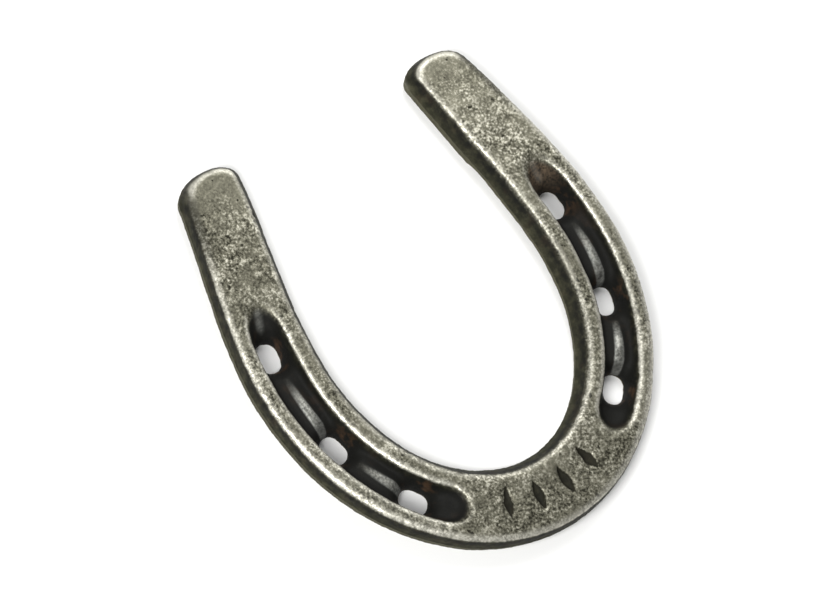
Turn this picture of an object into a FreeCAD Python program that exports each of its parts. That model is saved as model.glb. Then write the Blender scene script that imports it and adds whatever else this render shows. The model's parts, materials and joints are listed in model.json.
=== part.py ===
import FreeCAD, Part
import os
from FreeCAD import Vector

# Small cast-iron horseshoe. Millimetres, +Z up. The flat hoof side lies on z = 0, the grooved
# ground side faces up, the toe points to -Y and the two branches lie on +X and -X.

# overall sizes, at the parting line where the casting is widest
length = 89.0
width = 79.0
thickness = 6.2
parting_height = 2.7

# plan of the web: the iron between the outer and the inner edge
toe_web = 14.6
side_web = 15.2
heel_web = 13.4
widest_y = 1.8
heel_outer_x = 32.3
heel_round = 4.0
branch_bow = 0.36
quarter_round = 0.5523

# casting draft, as the distance that each edge draws in from the parting line
outer_top_draft = 0.45
inner_top_draft = 1.9
hoof_draft = 0.3
top_edge_round = 0.7
hoof_edge_round = 0.4

# fuller: the groove in each branch, placed by its share of the web from the outer edge
fuller_share = 0.454
fuller_width = 6.8
fuller_floor_width = 5.0
fuller_depth = 2.5
fuller_toe_run = 0.388
fuller_heel_run = 0.24
fuller_toe_reach = 4.4
fuller_heel_reach = 7.5
fuller_toe_ramp = 0.025
fuller_heel_ramp = 0.05

# nail holes, each in a deeper pocket of the fuller
nail_front_runs = (0.493, 0.789)
nail_heel_run = 0.176
nail_length = 5.4
nail_width = 4.0
nail_corner = 1.8
nail_taper = 0.6
pocket_length = 10.4
pocket_floor_length = 7.2
pocket_width = 5.0
pocket_floor_width = 4.7
pocket_corner = 2.3
pocket_depth = 1.4
pocket_lap = 0.25

# plain lozenges sunk in the toe
mark_count = 4
mark_pitch = 6.0
mark_length = 7.0
mark_width = 2.0
mark_depth = 0.5

# relief along the inner edge of the hoof side, which stops short of the heels
relief_width = 3.4
relief_depth = 0.9
relief_run = 0.50
relief_end_round = 2.4

half_length = length / 2
toe_reach = half_length + widest_y
branch_end_y = half_length - heel_round
branch_reach = branch_end_y - widest_y
fuller_floor_z = thickness - fuller_depth
pocket_floor_z = fuller_floor_z - pocket_depth
past = 1.0


def front_poles(side, share, inset):
    """A quarter oval from the toe to the widest line, a share of the web in from the edge."""
    x = width / 2 - share * side_web - inset
    y = toe_reach - share * toe_web - inset
    return [
        Vector(0, widest_y - y, 0),
        Vector(side * x * quarter_round, widest_y - y, 0),
        Vector(side * x, widest_y - y * quarter_round, 0),
        Vector(side * x, widest_y, 0),
    ]


def branch_poles(side, share, inset):
    """The bowed branch from the widest line to where the heel starts to round."""
    x = width / 2 - share * side_web - inset
    end_x = heel_outer_x - share * heel_web - inset
    bow = branch_reach * branch_bow
    return [
        Vector(side * x, widest_y, 0),
        Vector(side * x, widest_y + bow, 0),
        Vector(side * (end_x + (x - end_x) * branch_bow), branch_end_y - bow, 0),
        Vector(side * end_x, branch_end_y, 0),
    ]


def curve(poles, z, start=0.0, stop=1.0):
    line = Part.BezierCurve()
    line.setPoles([Vector(p.x, p.y, z) for p in poles])
    line.segment(start, stop)
    return line


def reverse(line):
    back = Part.BezierCurve()
    back.setPoles(list(reversed(line.getPoles())))
    return back


def closed_wire(curves):
    return Part.Wire([c.toShape() for c in curves])


def spot(poles, run, z):
    """The point on a rail, with the direction of the rail towards the heel."""
    line = curve(poles, z)
    return line.value(run), line.tangent(run)[0]


def heel_cap(side, z, draw_out, draw_in):
    outer, outer_way = spot(branch_poles(side, 0, draw_out), 1.0, z)
    inner, inner_way = spot(branch_poles(side, 1, -draw_in), 1.0, z)
    rise = (heel_round - draw_out) * 4 / 3
    cap = Part.BezierCurve()
    cap.setPoles([
        outer,
        outer + outer_way * (rise / outer_way.y),
        inner + inner_way * (rise / inner_way.y),
        inner,
    ])
    return cap


def outline(z, draw_out, draw_in):
    """The whole U at height z, drawn in from the outer and the inner edge."""
    curves = [
        curve(front_poles(1, 0, draw_out), z),
        curve(branch_poles(1, 0, draw_out), z),
        heel_cap(1, z, draw_out, draw_in),
        reverse(curve(branch_poles(1, 1, -draw_in), z)),
        reverse(curve(front_poles(1, 1, -draw_in), z)),
        curve(front_poles(-1, 1, -draw_in), z),
        curve(branch_poles(-1, 1, -draw_in), z),
        reverse(heel_cap(-1, z, draw_out, draw_in)),
        reverse(curve(branch_poles(-1, 0, draw_out), z)),
        reverse(curve(front_poles(-1, 0, draw_out), z)),
    ]
    return closed_wire(curves)


def make_body():
    body = Part.makeLoft([
        outline(0, hoof_draft, hoof_draft),
        outline(parting_height, 0, 0),
        outline(thickness, outer_top_draft, inner_top_draft),
    ], True, True)
    body = round_level(body, thickness, top_edge_round)
    return round_level(body, 0, hoof_edge_round)


def round_level(solid, z, radius):
    """Rounds every edge that lies in the plane at height z."""
    tolerance = 1e-4
    edges = [e for e in solid.Edges if abs(e.BoundBox.ZMin - z) < tolerance]
    edges = [e for e in edges if abs(e.BoundBox.ZMax - z) < tolerance]
    return solid.makeFillet(radius, edges)


def oval_end(start, stop, way, reach):
    """The two halves of a half oval, from one side of the fuller round to the other."""
    middle = (start + stop) * 0.5
    tip = middle + way * reach
    lead = way * (reach * quarter_round)
    first = Part.BezierCurve()
    first.setPoles([start, start + lead, tip + (start - middle) * quarter_round, tip])
    second = Part.BezierCurve()
    second.setPoles([tip, tip + (stop - middle) * quarter_round, stop + lead, stop])
    return [first, second]


def fuller_wire(side, z, half_width, toe_run, heel_run):
    """Closed outline of one fuller, with a short oval end at the toe and a long one at the heel."""
    rails = [(front_poles(side, fuller_share, i), branch_poles(side, fuller_share, i))
             for i in (-half_width, 0, half_width)]
    outer, middle, inner = rails
    toe_way = spot(middle[0], toe_run, z)[1]
    heel_way = spot(middle[1], heel_run, z)[1]
    outer_front = curve(outer[0], z, toe_run, 1)
    outer_branch = curve(outer[1], z, 0, heel_run)
    inner_branch = reverse(curve(inner[1], z, 0, heel_run))
    inner_front = reverse(curve(inner[0], z, toe_run, 1))
    narrowing = half_width / (fuller_width / 2)
    heel_reach = fuller_heel_reach * narrowing
    toe_reach_in = fuller_toe_reach * narrowing
    heel_end = oval_end(outer_branch.EndPoint, inner_branch.StartPoint, heel_way, heel_reach)
    toe_end = oval_end(inner_front.EndPoint, outer_front.StartPoint, toe_way * -1, toe_reach_in)
    return closed_wire([outer_front, outer_branch] + heel_end + [inner_branch, inner_front] + toe_end)


def make_fuller(side):
    slope = (fuller_width - fuller_floor_width) / 2 / fuller_depth
    top_half = fuller_width / 2 + slope * past
    return Part.makeLoft([
        fuller_wire(side, thickness + past, top_half, fuller_toe_run, fuller_heel_run),
        fuller_wire(side, fuller_floor_z, fuller_floor_width / 2,
                    fuller_toe_run + fuller_toe_ramp, fuller_heel_run - fuller_heel_ramp),
    ], True, True)


def rounded_slot(centre, way, z, slot_length, slot_width, corner):
    """A rounded rectangle whose long side follows the direction given."""
    along = Vector(way.x, way.y, 0).normalize()
    across = Vector(-along.y, along.x, 0)
    middle = Vector(centre.x, centre.y, z)
    shapes = []
    turns = ((1, -1), (1, 1), (-1, 1), (-1, -1))
    diagonal = corner * (1 - 0.5 ** 0.5)
    corners = []
    for a, b in turns:
        tip = middle + along * (a * slot_length / 2) + across * (b * slot_width / 2)
        before = tip - along * (a * corner) if a * b < 0 else tip - across * (b * corner)
        after = tip - across * (b * corner) if a * b < 0 else tip - along * (a * corner)
        bend = tip - along * (a * diagonal) - across * (b * diagonal)
        corners.append((before, bend, after))
    for n, (before, bend, after) in enumerate(corners):
        shapes.append(Part.Arc(before, bend, after).toShape())
        shapes.append(Part.makeLine(after, corners[(n + 1) % len(corners)][0]))
    return Part.Wire(shapes)


def nail_spots(side):
    front = front_poles(side, fuller_share, 0)
    branch = branch_poles(side, fuller_share, 0)
    spots = [spot(front, run, 0) for run in nail_front_runs]
    return spots + [spot(branch, nail_heel_run, 0)]


def make_pocket(centre, way):
    """The sunk seat around one nail hole."""
    mouth_z = fuller_floor_z + pocket_lap
    high = rounded_slot(centre, way, mouth_z, pocket_length, pocket_width, pocket_corner)
    low = rounded_slot(centre, way, pocket_floor_z, pocket_floor_length, pocket_floor_width, pocket_corner)
    return Part.makeLoft([high, low], True, True)


def make_nail_hole(centre, way):
    """A through hole that narrows towards the hoof side."""
    taper = nail_taper / 2 / pocket_floor_z
    low_cut = -taper * past
    high_cut = nail_taper / 2 + taper * past
    low = rounded_slot(centre, way, -past, nail_length + 2 * low_cut, nail_width + 2 * low_cut, nail_corner)
    high = rounded_slot(centre, way, pocket_floor_z + past, nail_length + 2 * high_cut,
                        nail_width + 2 * high_cut, nail_corner)
    return Part.makeLoft([low, high], True, True)


def make_mark(offset):
    """One lozenge, square to the edge of the toe, at a distance along X from the toe's middle."""
    side = 1 if offset > 0 else -1
    poles = front_poles(side, 0.5, 0)
    start_speed = 3 * abs(poles[1].x)
    centre, way = spot(poles, abs(offset) / start_speed, 0)
    along = Vector(way.x, way.y, 0).normalize()
    across = Vector(-along.y, along.x, 0)
    base = Vector(centre.x, centre.y, thickness - mark_depth)
    ring = [
        base + across * (mark_length / 2),
        base + along * (mark_width / 2),
        base - across * (mark_length / 2),
        base - along * (mark_width / 2),
    ]
    face = Part.Face(Part.makePolygon(ring + ring[:1]))
    return face.extrude(Vector(0, 0, mark_depth + past))


def make_relief():
    """The cut that lowers the inner part of the hoof side."""
    halves = []
    for side in (1, -1):
        step = branch_poles(side, 1, -relief_width)
        gap = branch_poles(side, 1, past)
        turn, way = spot(step, relief_run, -past)
        inner, inner_way = spot(gap, relief_run, -past)
        reach = way * (relief_end_round / way.y)
        end = Part.BezierCurve()
        end.setPoles([turn, turn + reach, inner + inner_way * relief_end_round, inner])
        halves.append((
            curve(front_poles(side, 1, -relief_width), -past),
            curve(step, -past, 0, relief_run),
            end,
            reverse(curve(gap, -past, 0, relief_run)),
            reverse(curve(front_poles(side, 1, past), -past)),
        ))
    right, left = halves
    back = [reverse(c) for c in reversed(left)]
    face = Part.Face(closed_wire(list(right) + back))
    return face.extrude(Vector(0, 0, past + relief_depth))


def make_casting():
    casting = make_body()
    fullers = [make_fuller(side) for side in (1, -1)]
    casting = casting.cut(fullers)
    for side in (1, -1):
        for centre, way in nail_spots(side):
            casting = casting.cut([make_pocket(centre, way), make_nail_hole(centre, way)])
    casting = casting.cut(make_relief())
    first = -(mark_count - 1) / 2
    marks = [make_mark((first + n) * mark_pitch) for n in range(mark_count)]
    return casting.cut(marks).removeSplitter()


os.makedirs("parts", exist_ok=True)
shoe_casting = make_casting()
shoe_casting.exportStep("parts/shoe_casting.step")
print("shoe_casting valid:", shoe_casting.isValid(), "volume mm3:", round(shoe_casting.Volume))
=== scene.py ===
import json
import math

import bmesh
import bpy
import numpy as np
from mathutils import Matrix, Vector


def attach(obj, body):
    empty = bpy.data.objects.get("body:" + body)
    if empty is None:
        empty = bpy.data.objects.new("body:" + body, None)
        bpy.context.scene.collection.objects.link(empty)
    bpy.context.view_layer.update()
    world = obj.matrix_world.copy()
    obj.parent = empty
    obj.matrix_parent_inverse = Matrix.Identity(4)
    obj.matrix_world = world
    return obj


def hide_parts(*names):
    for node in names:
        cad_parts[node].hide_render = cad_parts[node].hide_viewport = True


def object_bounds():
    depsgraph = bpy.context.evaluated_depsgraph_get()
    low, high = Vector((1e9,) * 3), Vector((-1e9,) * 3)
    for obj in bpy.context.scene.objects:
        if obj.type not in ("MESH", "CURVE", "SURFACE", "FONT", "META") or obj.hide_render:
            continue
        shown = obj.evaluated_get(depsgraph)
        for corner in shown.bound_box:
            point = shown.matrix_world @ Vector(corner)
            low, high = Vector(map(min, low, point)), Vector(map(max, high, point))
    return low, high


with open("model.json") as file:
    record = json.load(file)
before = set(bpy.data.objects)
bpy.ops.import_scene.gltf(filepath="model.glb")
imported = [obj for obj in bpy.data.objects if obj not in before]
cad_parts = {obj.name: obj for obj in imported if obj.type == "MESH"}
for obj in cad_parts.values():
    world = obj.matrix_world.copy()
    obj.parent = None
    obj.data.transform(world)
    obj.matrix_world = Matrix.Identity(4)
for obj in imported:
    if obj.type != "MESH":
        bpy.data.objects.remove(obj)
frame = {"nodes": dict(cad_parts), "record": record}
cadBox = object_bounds()
castingNode = "shoe_casting"
millimetre = 0.001


class Wire:
    # one socket of a node tree, used in sums as if it were a number
    def __init__(self, tree, socket=None):
        self.tree = tree
        self.socket = socket

    def node(self, kind, settings=None, inputs=None, output=0):
        made = self.tree.nodes.new(kind)
        for name, value in (settings or {}).items():
            if name == "stops":
                ramp = made.color_ramp
                while len(ramp.elements) < len(value):
                    ramp.elements.new(0.5)
                for stop, (place, colour) in zip(ramp.elements, value):
                    stop.position = place
                    stop.color = colour
            else:
                setattr(made, name, value)
        for name, value in (inputs or {}).items():
            if isinstance(value, Wire):
                self.tree.links.new(value.socket, made.inputs[name])
            else:
                made.inputs[name].default_value = value
        return Wire(self.tree, made.outputs[output] if made.outputs else None)

    def sum(self, operation, other=0.0):
        return self.node("ShaderNodeMath", {"operation": operation}, {0: self, 1: other})

    def __add__(self, other):
        return self.sum("ADD", other)

    def __sub__(self, other):
        return self.sum("SUBTRACT", other)

    def __mul__(self, other):
        return self.sum("MULTIPLY", other)

    def __rsub__(self, other):
        return self.node("ShaderNodeMath", {"operation": "SUBTRACT"}, {0: other, 1: self})

    __radd__ = __add__
    __rmul__ = __mul__

    def fade(self, low, high):
        # 0 at low, 1 at high, and smooth between them
        return self.node("ShaderNodeMapRange", {"interpolation_type": "SMOOTHSTEP"},
                         {"Value": self, "From Min": low, "From Max": high})

    def top(self, other):
        return self.sum("MAXIMUM", other)

    def low(self, other):
        return self.sum("MINIMUM", other)


# the plan of the shoe, in millimetres
plan = {
    "widestY": 1.8,
    "toeWeb": 14.6,
    "sideWeb": 15.2,
    "heelWeb": 13.4,
    "heelInset": 7.2,       # from the widest line's outer edge to the heel's
    "heelRound": 4.0,
    "bow": 0.36,
    "quarterRound": 0.5523,
    "fullerShare": 0.454,   # where the groove runs, as a share of the web
}


def bezier(poles, runs):
    a, b, c, d = (np.array(p, float) for p in poles)
    t = runs[:, None]
    return (1 - t) ** 3 * a + 3 * t * (1 - t) ** 2 * b + 3 * t * t * (1 - t) * c + t ** 3 * d


def railPoints(share, count=400):
    # one side of the shoe from toe to heel, a share of the web in from the outer edge
    low, high = (np.array(corner) / millimetre for corner in cadBox)
    halfWidth, halfLength = high[0], high[1]
    x = halfWidth - share * plan["sideWeb"]
    y = halfLength + plan["widestY"] - share * plan["toeWeb"]
    endX = halfWidth - plan["heelInset"] - share * plan["heelWeb"]
    endY = halfLength - plan["heelRound"]
    wide, q = plan["widestY"], plan["quarterRound"]
    bow = (endY - wide) * plan["bow"]
    bowX = endX + (x - endX) * plan["bow"]
    runs = np.linspace(0, 1, count)
    front = bezier([(0, wide - y), (x * q, wide - y), (x, wide - y * q), (x, wide)], runs)
    back = bezier([(x, wide), (x, wide + bow), (bowX, endY - bow), (endX, endY)], runs)
    return np.concatenate([front, back[1:]])


# the blank: the CAD casting turned into one even skin
blank = {
    "weld": 0.002,          # points nearer than this are one point, in millimetres
    "skinSize": 0.33,
}


def newObject(name, mesh):
    made = bpy.data.objects.new(name, mesh)
    bpy.context.scene.collection.objects.link(made)
    return made


def evaluatedMesh(obj):
    bpy.context.view_layer.update()
    depsgraph = bpy.context.evaluated_depsgraph_get()
    return bpy.data.meshes.new_from_object(obj.evaluated_get(depsgraph))


def makeBlank():
    mesh = frame["nodes"][castingNode].data.copy()
    work = bmesh.new()
    work.from_mesh(mesh)
    bmesh.ops.remove_doubles(work, verts=work.verts, dist=blank["weld"] * millimetre)
    work.to_mesh(mesh)
    work.free()
    mesh.materials.clear()
    rough = newObject("castingBlank", mesh)
    skin = rough.modifiers.new("skin", "REMESH")
    skin.mode = "VOXEL"
    skin.voxel_size = blank["skinSize"] * millimetre
    even = evaluatedMesh(rough)
    bpy.data.objects.remove(rough)
    print("blank:", len(even.vertices), "points")
    return even


# what the moulder's pattern adds to the plain groove, the toe and the heels, in millimetres
pattern = {
    "grooveHalfWidth": 2.9,
    "groovePastToeHole": 10.0,
    "groovePastHeelHole": 10.8,
    "grooveEdge": 0.6,       # how softly the groove's mask ends
    "grooveTop": 0.25,       # the mask starts this far below the top, and is full this far below it
    "grooveFull": 0.9,
    "saddleHeight": 1.7,
    "saddleLean": 0.8,       # below 1, a saddle's crown leans towards the toe
    # the next four shape a painted highlight along each saddle's crown
    "sheenLean": 0.65,
    "sheenSpread": 0.7,
    "sheenFade": 0.65,     # how much of the painted highlight is gone at a saddle's heel end
    "sheenGain": 1.25,
    "saddleHalfWidth": 2.5,
    "saddleGap": 2.5,        # clear length kept around each nail hole
    "duskySaddle": 0.79,     # the painted highlight on one front saddle is dimmer than on the others
    "troughDepth": 0.15,     # beside each saddle
    "rampSheen": 0.5,      # the groove's heel end gets a painted highlight about half as bright as a saddle's, and this weight also scales the ramp's rise
    "rampHeight": 0.6,
    "rampStart": 5.9,
    "holeEdge": 2.2,         # rust and dirt gather from the hole's edge out to its reach
    "holeReach": 4.4,
    "heelDrop": 0.5,
    "heelDropLength": 13.0,
    "rimRoll": 0.35,         # how far the outer rim rolls down, and over what width
    "rimRollWidth": 1.8,
    "heelRoll": 0.9,
    "heelRollWidth": 3.2,
    "bevelWidth": 2.6,       # the outer edge of each heel stays dark over this width
    "bevelLength": 20.0,
    "tipRoll": 0.9,
    "tipHalfWidth": 6.7,
    "tipFlat": 0.6,          # this share of each tip stays flat
    "tipBevel": 0.65,
    "markCount": 4,
    "markPitch": 6.0,
    "markLength": 7.0,
    "markWidth": 2.0,
}


def nearestOnRail(points, rail):
    # for each point: the distance run along the rail, and how far it stands off it
    steps = np.diff(rail, axis=0)
    lengths = np.linalg.norm(steps, axis=1)
    runs = np.concatenate([[0], np.cumsum(lengths)])
    along = np.zeros(len(points))
    off = np.zeros(len(points))
    batch = 4000
    for n in range(0, len(points), batch):
        part = points[n:n + batch]
        gap = part[:, None, :] - rail[None, :, :]
        near = np.clip((gap ** 2).sum(-1).argmin(1), 0, len(steps) - 1)
        way = steps[near] / lengths[near][:, None]
        local = part - rail[near]
        along[n:n + batch] = runs[near] + (local * way).sum(-1)
        off[n:n + batch] = local[:, 0] * way[:, 1] - local[:, 1] * way[:, 0]
    return along, off


def smooth(value, low, high):
    t = np.clip((value - low) / (high - low), 0, 1)
    return t * t * (3 - 2 * t)


def nailRuns(rail):
    mounts = {m["name"]: m for m in frame["record"]["mounts"]}
    runs = []
    for name in ("toe_nail_holes", "quarter_nail_holes", "heel_nail_holes"):
        holeY = mounts[name]["pos_m"][1] / millimetre
        near = np.abs(rail[:, 1] - holeY).argmin()
        runs.append(nearestOnRail(rail[near][None, :], rail)[0][0])
    return runs


def markMask(spots):
    # 1 at the middle of each toe lozenge, 0 at its edge and outside
    rail = railPoints(0.5)
    mask = np.zeros(len(spots))
    first = -(pattern["markCount"] - 1) / 2
    for n in range(pattern["markCount"]):
        offset = (first + n) * pattern["markPitch"]
        near = np.abs(rail[:, 0] - abs(offset)).argmin()
        way = rail[near + 1] - rail[near - 1] if near else rail[1] - rail[0]
        way = way / np.linalg.norm(way)
        side = 1 if offset > 0 else -1
        local = spots[:, :2] * [side, 1] - rail[near]
        run = np.abs(local @ way)
        across = np.abs(local @ np.array([-way[1], way[0]]))
        inside = 1 - run / (pattern["markWidth"] / 2) - across / (pattern["markLength"] / 2)
        mask = np.maximum(mask, np.clip(inside, 0, 1))
    return mask


def storeOnPoints(mesh, name, values):
    layer = mesh.attributes.new(name, "FLOAT", "POINT")
    layer.data.foreach_set("value", values.astype(np.float32))


def shapePattern(mesh):
    spots = np.empty(len(mesh.vertices) * 3)
    mesh.vertices.foreach_get("co", spots)
    spots = spots.reshape(-1, 3) / millimetre
    topZ = cadBox[1][2] / millimetre
    planSpots = np.column_stack([np.abs(spots[:, 0]), spots[:, 1]])     # both branches folded onto one
    rail = railPoints(plan["fullerShare"])
    along, off = nearestOnRail(planSpots, rail)
    holes = nailRuns(rail)
    belowTop = topZ - spots[:, 2]
    edge = pattern["grooveEdge"]
    inGroove = smooth(pattern["grooveHalfWidth"] - np.abs(off), -edge / 2, edge / 2)
    inGroove *= smooth(belowTop, pattern["grooveTop"], pattern["grooveFull"])
    inGroove *= smooth(along - holes[0] + pattern["groovePastToeHole"], 0, edge) * (spots[:, 2] > 0.1 * topZ)
    inGroove *= smooth(holes[-1] + pattern["groovePastHeelHole"] - along, 0, edge)
    hump = np.zeros(len(spots))
    # a painted highlight along each saddle's crown, weaker towards its heel end and on the front saddle of
    # one branch
    paintedSheen = np.zeros(len(spots))
    sheenShares = (1 - (1 - pattern["duskySaddle"]) * (spots[:, 0] < 0), 1)
    for sheenShare, start, stop in zip(sheenShares, holes[:-1], holes[1:]):
        low, high = start + pattern["saddleGap"], stop - pattern["saddleGap"]
        share = np.clip((along - low) / (high - low), 0, 1)
        hump += np.sin(math.pi * share ** pattern["saddleLean"])
        crownSheen = np.sin(math.pi * share ** pattern["sheenLean"]) ** pattern["sheenSpread"]
        paintedSheen += sheenShare * crownSheen * (1 - pattern["sheenFade"] * share)
    across = 1 - smooth(np.abs(off), 0, pattern["saddleHalfWidth"])
    rise = pattern["saddleHeight"] * across - pattern["troughDepth"] * (1 - across)
    spots[:, 2] += rise * hump * inGroove
    # the groove's heel end rises as a ramp, and the same weight paints a highlight on it
    pastHeelHole = smooth(along - holes[-1], pattern["saddleGap"], pattern["rampStart"])
    ramp = pattern["rampSheen"] * pastHeelHole * across
    spots[:, 2] += ramp * inGroove * pattern["rampHeight"]
    # the heels are poured a little low, and the outer rim rolls down, most of all at the heels
    toHeel = cadBox[1][1] / millimetre - spots[:, 1]
    atHeel = smooth(pattern["heelDropLength"] - toHeel, 0, pattern["heelDropLength"])
    fromRim = -nearestOnRail(planSpots, railPoints(0))[1]
    rollWidth = pattern["rimRollWidth"] * (1 - atHeel) + pattern["heelRollWidth"] * atHeel
    roll = pattern["rimRoll"] * (1 - atHeel) + pattern["heelRoll"] * atHeel
    roll *= np.clip(1 - fromRim / rollWidth, 0, 1) ** 2 * smooth(spots[:, 2], 0.5 * topZ, 0.9 * topZ)
    fromMiddle = nearestOnRail(planSpots, railPoints(0.5))[1] / pattern["tipHalfWidth"]
    pastBranch = np.clip(plan["heelRound"] - toHeel, 0, None) / plan["heelRound"]
    flat = pattern["tipFlat"]
    tip = np.clip(np.hypot(fromMiddle, pastBranch) - flat, 0, None) / (1 - flat) * smooth(toHeel, 9, 3)
    roll += pattern["tipRoll"] * tip ** 2 * smooth(spots[:, 2], 0.5 * topZ, 0.9 * topZ)
    spots[:, 2] -= atHeel * pattern["heelDrop"] * spots[:, 2] / topZ + roll
    mesh.vertices.foreach_set("co", (spots * millimetre).ravel())
    toHole = np.full(len(spots), np.inf)
    for run in holes:
        toHole = np.minimum(toHole, np.hypot(along - run, off))
    bevel = smooth(pattern["bevelWidth"] - fromRim, 0, 1.3) * smooth(pattern["bevelLength"] - toHeel, 0, 9)
    storeOnPoints(mesh, "bevel", np.maximum(bevel, smooth(tip, 0.2, 0.9) * pattern["tipBevel"]))
    storeOnPoints(mesh, "groove", inGroove)
    # painted highlight along the saddle crowns and the heel ramp, stored for the material
    stripe = np.clip(paintedSheen * pattern["sheenGain"], 0, 1) * smooth(across, 0.40, 0.95)
    storeOnPoints(mesh, "saddle", (stripe + ramp) * inGroove)
    storeOnPoints(mesh, "nailHole", 1 - smooth(toHole, pattern["holeEdge"], pattern["holeReach"]))
    storeOnPoints(mesh, "mark", markMask(spots) * (belowTop < 1.5))
    mesh.update()


# the skin that the sand leaves, in millimetres
skin = {
    "soften": 6,
    "grooveSoften": 16,
    "markDepth": 0.55,
    "wear": 0.06,            # how far the whole skin draws in, so that its bumps stay inside the box
    "seamHeight": 0.10,
    "seamLevel": 2.7,
    "seamWidth": 0.35,
    "swellHeight": 0.10,
    "swellSize": 8.0,
    "pebbleHeight": 0.045,
    "pebbleSize": 2.0,
    "grainHeight": 0.055,
    "grainSize": 0.9,
    "nickDepth": 0.30,
    "nickSize": 4.0,
    "nickRarity": 0.68,
    "seed": 7,
}


def inputSocket(tree, name, kind, value):
    socket = tree.interface.new_socket(name, in_out="INPUT", socket_type=kind)
    if value is not None:
        socket.default_value = value
    return socket.identifier


def makeSkinTree(material):
    tree = bpy.data.node_groups.new("castSkin", "GeometryNodeTree")
    tree.interface.new_socket("Geometry", in_out="INPUT", socket_type="NodeSocketGeometry")
    tree.interface.new_socket("Geometry", in_out="OUTPUT", socket_type="NodeSocketGeometry")
    names = {}
    for name, value in skin.items():
        if name in ("soften", "grooveSoften", "seed"):
            names[name] = inputSocket(tree, name, "NodeSocketInt", value)
        else:
            names[name] = inputSocket(tree, name, "NodeSocketFloat", float(value))
    names["boxLow"] = inputSocket(tree, "boxLow", "NodeSocketVector", None)
    names["boxHigh"] = inputSocket(tree, "boxHigh", "NodeSocketVector", None)
    entry = tree.nodes.new("NodeGroupInput")
    given = {socket.name: Wire(tree, socket) for socket in entry.outputs if socket.name}
    sheet = Wire(tree)

    def place():
        return sheet.node("GeometryNodeInputPosition")

    def blurred(iterations, weight=1.0):
        return sheet.node("GeometryNodeBlurAttribute", {"data_type": "FLOAT_VECTOR"},
                          {"Value": place(), "Iterations": iterations, "Weight": weight})

    def noise(size, shift, detail, roughness=0.5):
        # even noise, mostly from -1 to 1, with lumps of the size given in millimetres
        seed = given["seed"] + shift
        scale = sheet.node("ShaderNodeMath", {"operation": "DIVIDE"}, {0: 1.0 / millimetre, 1: size})
        made = sheet.node("ShaderNodeTexNoise", {"noise_dimensions": "4D"},
                          {"Vector": place(), "W": seed, "Scale": scale,
                           "Detail": detail, "Roughness": roughness})
        return (made - 0.5) * 4.0

    def attribute(name):
        return sheet.node("GeometryNodeInputNamedAttribute", {"data_type": "FLOAT"}, {"Name": name})

    def vector(operation, first, second, output=0):
        return sheet.node("ShaderNodeVectorMath", {"operation": operation}, {0: first, 1: second}, output)

    def upPart(direction):
        return sheet.node("ShaderNodeSeparateXYZ", None, {0: direction}, "Z")

    def moved(geometry, lift):
        # lifted along the normal, in millimetres
        offset = sheet.node("ShaderNodeVectorMath", {"operation": "SCALE"},
                            {0: normal, "Scale": lift * millimetre})
        return sheet.node("GeometryNodeSetPosition", None, {"Geometry": geometry, "Offset": offset})

    normal = sheet.node("GeometryNodeInputNormal")

    def bulge(iterations):
        # how far the surface stands out of its own surroundings, in millimetres
        lean = vector("SUBTRACT", place(), blurred(iterations))
        return vector("DOT_PRODUCT", lean, normal, "Value") * (1 / millimetre)

    def stored(geometry, name, value):
        return sheet.node("GeometryNodeStoreNamedAttribute", {"data_type": "FLOAT", "domain": "POINT"},
                          {"Geometry": geometry, "Name": name, "Value": value})

    def placed(geometry, position):
        return sheet.node("GeometryNodeSetPosition", None, {"Geometry": geometry, "Position": position})

    softened = placed(given["Geometry"], blurred(given["soften"]))
    poured = placed(softened, blurred(given["grooveSoften"], attribute("groove")))
    poured = stored(poured, "rim", bulge(8).fade(0.03, 0.17))
    poured = stored(poured, "hollow", (bulge(30) * -1.0).fade(0.05, 0.45))
    # the toe lozenges are cut crisp again, and the parting seam stands proud of the walls
    sunk = attribute("mark").fade(0.0, 0.3) * given["markDepth"]
    height = upPart(place()) * (1 / millimetre)
    seam = 1.0 - (height - given["seamLevel"]).sum("ABSOLUTE").fade(0.0, given["seamWidth"])
    upright = 1.0 - upPart(normal).sum("ABSOLUTE").fade(0.2, 0.5)
    seamRise = seam * upright * given["seamHeight"] * (1.0 - attribute("nailHole"))
    detailed = moved(poured, seamRise - sunk)
    swell = noise(given["swellSize"], 1.0, 1.0) * given["swellHeight"]
    pebble = noise(given["pebbleSize"], 2.0, 2.0)
    grain = noise(given["grainSize"], 3.0, 2.0, 0.65)
    nick = (noise(given["nickSize"], 4.0, 2.0) * 0.25 + 0.5 - given["nickRarity"]).top(0.0) * 3.0
    smoother = 1.0 - attribute("groove") * 0.7
    grit = pebble * given["pebbleHeight"] + grain * given["grainHeight"]
    detailed = stored(detailed, "grit", (pebble + grain) * 0.5)
    rough = moved(detailed, swell + grit * smoother - given["wear"] - nick.low(given["nickDepth"]))
    above = vector("MAXIMUM", place(), given["boxLow"])
    kept = placed(rough, vector("MINIMUM", above, given["boxHigh"]))

    smoothShaded = sheet.node("GeometryNodeSetShadeSmooth", None, {"Geometry": kept})
    whole = sheet.node("GeometryNodeRealizeInstances", None, {"Geometry": smoothShaded})
    painted = sheet.node("GeometryNodeSetMaterial", None, {"Geometry": whole, "Material": material})
    exitNode = tree.nodes.new("NodeGroupOutput")
    tree.links.new(painted.socket, exitNode.inputs[0])
    return tree, names


def makeCasting(material):
    mesh = makeBlank()
    shapePattern(mesh)
    print("pattern: saddles and heels shaped")
    piece = newObject("castIronShoe", mesh)
    tree, names = makeSkinTree(material)
    modifier = piece.modifiers.new("castSkin", "NODES")
    modifier.node_group = tree
    modifier[names["boxLow"]] = list(cadBox[0])
    modifier[names["boxHigh"]] = list(cadBox[1])
    finished = evaluatedMesh(piece)
    piece.modifiers.remove(modifier)
    piece.data = finished
    print("casting:", len(finished.vertices), "points,", len(finished.polygons), "faces")
    return piece
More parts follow.
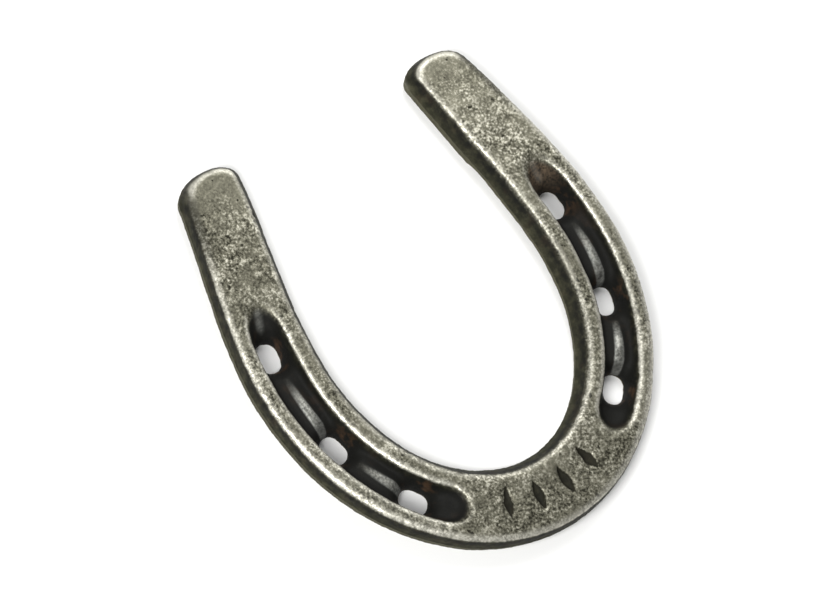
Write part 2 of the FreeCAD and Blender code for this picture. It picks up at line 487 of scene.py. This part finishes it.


# cast iron, worn bright where shoes knock together and dark where they don't, with painted highlights on the
# rims and saddle crowns, painted shade under the rim and in hollows, and a painted reflection on the lower
# walls
iron = {
    "oxide": (0.012, 0.012, 0.006, 1),
    "oxideWorn": (0.052, 0.050, 0.029, 1),
    # painted reflection: a paler olive for the walls below the parting line
    "lowerWallReflection": (0.075, 0.071, 0.043, 1),
    "groove": (0.006, 0.006, 0.005, 1),
    # saddle: a bright colour painted on the saddle crowns as a highlight
    "saddle": (0.37, 0.375, 0.345, 1),
    "shadeUnderRim": (0.003, 0.003, 0.0025, 1),
    "landLow": (0.018, 0.017, 0.011, 1),
    # painted shade: a near-black for the walls just under the rim
    "landMiddle": (0.155, 0.149, 0.112, 1),
    "landHigh": (0.70, 0.68, 0.575, 1),
    # rim colour: edge wear and a painted highlight along convex rims
    "rimWearAndHighlight": (0.88, 0.86, 0.77, 1),
    "underside": (0.215, 0.208, 0.155, 1),
    "rust": (0.060, 0.034, 0.018, 1),
    "rampRust": (0.115, 0.082, 0.052, 1),
    "grainSize": 0.46,      # sizes are in millimetres
    "pebbleSize": 1.1,
    "patchSize": 14.0,
    "coarseSize": 7.0,      # where the speckle is stronger or fainter
    "pitSize": 1.3,
    "scuffSize": 1.7,
    "stainSize": 3.0,
    "wallTop": (3.2, 4.6),       # heights over which painted shade turns the walls black under the rim
    "lowerWall": (2.5, 2.8),     # the parting line, below which the walls are painted paler as a painted reflection
    "landDrop": (1.3, 0.5),      # below the top, where the land's colour starts and is full
    "smoothHeel": (13, 3),       # from the heel's end, where the grain fades
    "rustyRamp": (10, 15),
    "rustySide": 8,
    "bumpDepth": 0.10,
    "specular": 0.12,
}


def makeIron():
    material = bpy.data.materials.new("sandCastIron")
    material.use_nodes = True
    tree = material.node_tree
    tree.nodes.clear()
    sheet = Wire(tree)
    place = sheet.node("ShaderNodeTexCoord", None, None, "Object")
    facing = sheet.node("ShaderNodeNewGeometry", None, None, "Normal")

    def noise(size, detail, roughness=0.5, shift=0.0):
        return sheet.node("ShaderNodeTexNoise", {"noise_dimensions": "4D"},
                          {"Vector": place, "W": shift, "Scale": 1 / (size * millimetre),
                           "Detail": detail, "Roughness": roughness})

    def attribute(name):
        return sheet.node("ShaderNodeAttribute", {"attribute_name": name}, None, "Fac")

    def mixed(share, first, second):
        return sheet.node("ShaderNodeMix", {"data_type": "RGBA"}, {0: share, 6: first, 7: second}, 2)

    def part(direction, axis):
        return sheet.node("ShaderNodeSeparateXYZ", None, {0: direction}, axis)

    def span(value, ends):
        # 0 to 1 between two places given in millimetres
        return value.fade(ends[0] * millimetre, ends[1] * millimetre)

    rim, hollow, groove, mark = (attribute(name) for name in ("rim", "hollow", "groove", "mark"))
    nailHole, saddle, grit, bevel = (attribute(name) for name in ("nailHole", "saddle", "grit", "bevel"))
    level = part(place, "Z")
    upward = part(facing, "Z")
    heelEnd, top = (cadBox[1][axis] / millimetre for axis in (1, 2))
    land = span(level, [top - drop for drop in iron["landDrop"]]) * upward.fade(0.3, 0.85)
    under = (upward * -1.0).fade(0.5, 0.95)
    reflectedBand = 1.0 - span(level, iron["lowerWall"])

    grain = noise(iron["grainSize"], 3.0, 0.62)
    pebble = noise(iron["pebbleSize"], 3.0, 0.55, 3.0)
    patch = noise(iron["patchSize"], 2.0, 0.5, 1.0)
    coarse = noise(iron["coarseSize"], 2.0, 0.5, 7.0).fade(0.30, 0.65)
    speckle = (grain * 0.66 + pebble * 0.26 + grit * 0.07 + 0.04).fade(0.33, 0.69)
    atHeel = span(part(place, "Y"), [heelEnd - reach for reach in iron["smoothHeel"]])
    speckle = 0.5 + (speckle - 0.5) * (0.55 + coarse * 0.65) * (1.0 - atHeel * 0.6)
    pit = noise(iron["pitSize"], 2.0, 0.5, 11.0).fade(0.66, 0.74)
    # convex rims lighten the land colour, partly as edge wear and partly as a painted highlight
    fleck = speckle * 0.74 + rim * 0.45 + (patch - 0.5) * 0.6
    # hollows darken the land colour as painted shade
    fleck = fleck - hollow * 0.3 - mark.fade(0.0, 0.3) * 0.7 - pit * 0.5
    fleck = fleck.low(1.0)
    # the land's share of the colour, with convex rims added partly as edge wear and partly as a painted
    # highlight
    rubbedAndRimSheen = (land * (1.0 - groove * 0.7) + rim * 0.55 * (1.0 - groove * 0.6)).low(1.0)
    rubbedAndRimSheen = rubbedAndRimSheen * (1.0 - bevel * 0.7)
    landColour = sheet.node("ShaderNodeValToRGB", {"stops": [
        (0.0, iron["landLow"]), (0.42, iron["landMiddle"]), (1.0, iron["landHigh"])]}, {"Fac": fleck})

    scuff = noise(iron["scuffSize"], 4.0, 0.65, 13.0).fade(0.34, 0.74)
    dark = mixed(scuff * (0.4 + speckle * 0.6), iron["oxide"], iron["oxideWorn"])
    # painted reflection: below the parting line, outside the groove, the walls are painted a paler olive
    dark = mixed(reflectedBand * (1.0 - groove) * (0.5 + speckle * 0.5), dark, iron["lowerWallReflection"])
    # painted shade: the walls turn near-black just under the rim, broken up by the scuffs
    shadeUnderRim = span(level, iron["wallTop"]) * (1.0 - scuff * 0.6)
    dark = mixed(shadeUnderRim * 0.85, dark, iron["shadeUnderRim"])
    dark = mixed(groove, dark, iron["groove"])
    # painted highlight: the saddle crowns and the heel ramp take a bright colour
    crown = saddle.fade(0.25, 0.95)
    dark = mixed(crown * (0.3 + speckle * 0.7), dark, iron["saddle"])
    dark = mixed(under * (0.25 + speckle * 0.45 + patch * 0.6).low(1.0), dark, iron["underside"])
    stain = noise(iron["stainSize"], 3.0, 0.6, 9.0).fade(0.50, 0.70) * (0.12 + nailHole * 0.7)
    dark = mixed(stain, dark, iron["rust"])
    atRamp = span(part(place, "Y"), iron["rustyRamp"])
    oneBranch = span(part(place, "X"), (0, iron["rustySide"]))
    dark = mixed(groove * atRamp * oneBranch * speckle * 0.8, dark, iron["rampRust"])
    colour = mixed(rubbedAndRimSheen, dark, landColour)
    # a near-white colour along convex rims on the lands: edge wear and a painted highlight
    shine = rim * rubbedAndRimSheen * (0.35 + speckle * 0.65) * (1.0 - bevel)
    colour = mixed(shine * 0.8, colour, iron["rimWearAndHighlight"])
    metallic = (crown * 0.9).top(rubbedAndRimSheen * (0.45 + fleck * 0.5)).top(under * 0.4).top(shine)
    roughness = 0.68 - crown * 0.26 - rubbedAndRimSheen * 0.08 - fleck * rubbedAndRimSheen * 0.18
    roughness = roughness - shine * 0.1 + (grain - 0.5) * 0.25
    height = grain * 0.6 + pebble * 0.4
    bump = sheet.node("ShaderNodeBump", None,
                      {"Strength": 0.9, "Distance": iron["bumpDepth"] * millimetre, "Height": height})
    shader = sheet.node("ShaderNodeBsdfPrincipled", None,
                        {"Base Color": colour, "Metallic": metallic, "Roughness": roughness, "Normal": bump,
                         "Specular IOR Level": iron["specular"]})
    sheet.node("ShaderNodeOutputMaterial", None, {"Surface": shader})
    return material


# the studio: a pale table, two soft lights and an even room
studio = {
    "tableSize": 3.0,
    "tableColour": (0.86, 0.86, 0.85, 1),
    "roomLight": 0.27,
    "key": {"way": (-0.66, -0.14, 0.74), "distance": 0.50, "size": 0.22, "power": 3.0},
    "fill": {"way": (0.42, 0.54, 0.73), "distance": 0.30, "size": 0.22, "power": 0.86},
}


def makeTable():
    half = studio["tableSize"] / 2
    corners = [(-half, -half, 0), (half, -half, 0), (half, half, 0), (-half, half, 0)]
    mesh = bpy.data.meshes.new("table")
    mesh.from_pydata(corners, [], [(0, 1, 2, 3)])
    table = newObject("table", mesh)
    paper = bpy.data.materials.new("palePaper")
    paper.use_nodes = True
    shader = paper.node_tree.nodes["Principled BSDF"]
    shader.inputs["Base Color"].default_value = studio["tableColour"]
    shader.inputs["Roughness"].default_value = 0.9
    shader.inputs["Specular IOR Level"].default_value = 0.1
    mesh.materials.append(paper)


def middleOfShoe():
    low, high = (Vector(corner) for corner in cadBox)
    return (low + high) / 2


def makeLight(name):
    facts = studio[name]
    data = bpy.data.lights.new(name, "AREA")
    data.shape = "SQUARE"
    data.size = facts["size"]
    data.energy = facts["power"]
    lamp = bpy.data.objects.new(name, data)
    way = Vector(facts["way"]).normalized()
    lamp.location = middleOfShoe() + way * facts["distance"]
    lamp.rotation_euler = way.to_track_quat("Z", "Y").to_euler()
    lamp.visible_camera = False
    bpy.context.scene.collection.objects.link(lamp)


def makeRoom():
    world = bpy.data.worlds.new("room")
    world.use_nodes = True
    back = world.node_tree.nodes["Background"]
    back.inputs["Color"].default_value = (1, 1, 1, 1)
    back.inputs["Strength"].default_value = studio["roomLight"]
    bpy.context.scene.world = world
    bpy.context.scene.view_settings.view_transform = "Standard"


# the camera looks down on the left branch, and is turned so that the toe points down and right
cameraView = {
    "azimuth": -72.9,
    "elevation": 65.0,
    "roll": 42.7,
    "distance": 0.787,
    "lens": 186.0,
    "panRight": -0.0042,    # metres across the picture, to centre the shoe in it
    "panUp": 0.0034,
}


def makeCamera():
    azimuth, elevation = math.radians(cameraView["azimuth"]), math.radians(cameraView["elevation"])
    flat = math.cos(elevation)
    way = Vector((math.sin(azimuth) * flat, -math.cos(azimuth) * flat, math.sin(elevation)))
    data = bpy.data.cameras.new("camera")
    data.lens = cameraView["lens"]
    camera = bpy.data.objects.new("camera", data)
    level = way.to_track_quat("Z", "Y").to_matrix().to_4x4()
    turned = level @ Matrix.Rotation(math.radians(cameraView["roll"]), 4, "Z")
    pan = turned.to_3x3() @ Vector((cameraView["panRight"], cameraView["panUp"], 0))
    camera.matrix_world = Matrix.Translation(middleOfShoe() + pan + way * cameraView["distance"]) @ turned
    bpy.context.scene.collection.objects.link(camera)
    bpy.context.scene.camera = camera


makeRoom()
makeTable()
makeLight("key")
makeLight("fill")
makeCamera()
print("studio: table, lights and camera placed")
shoe = makeCasting(makeIron())
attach(shoe, "root")
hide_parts(castingNode)
print("casting: rides on root")
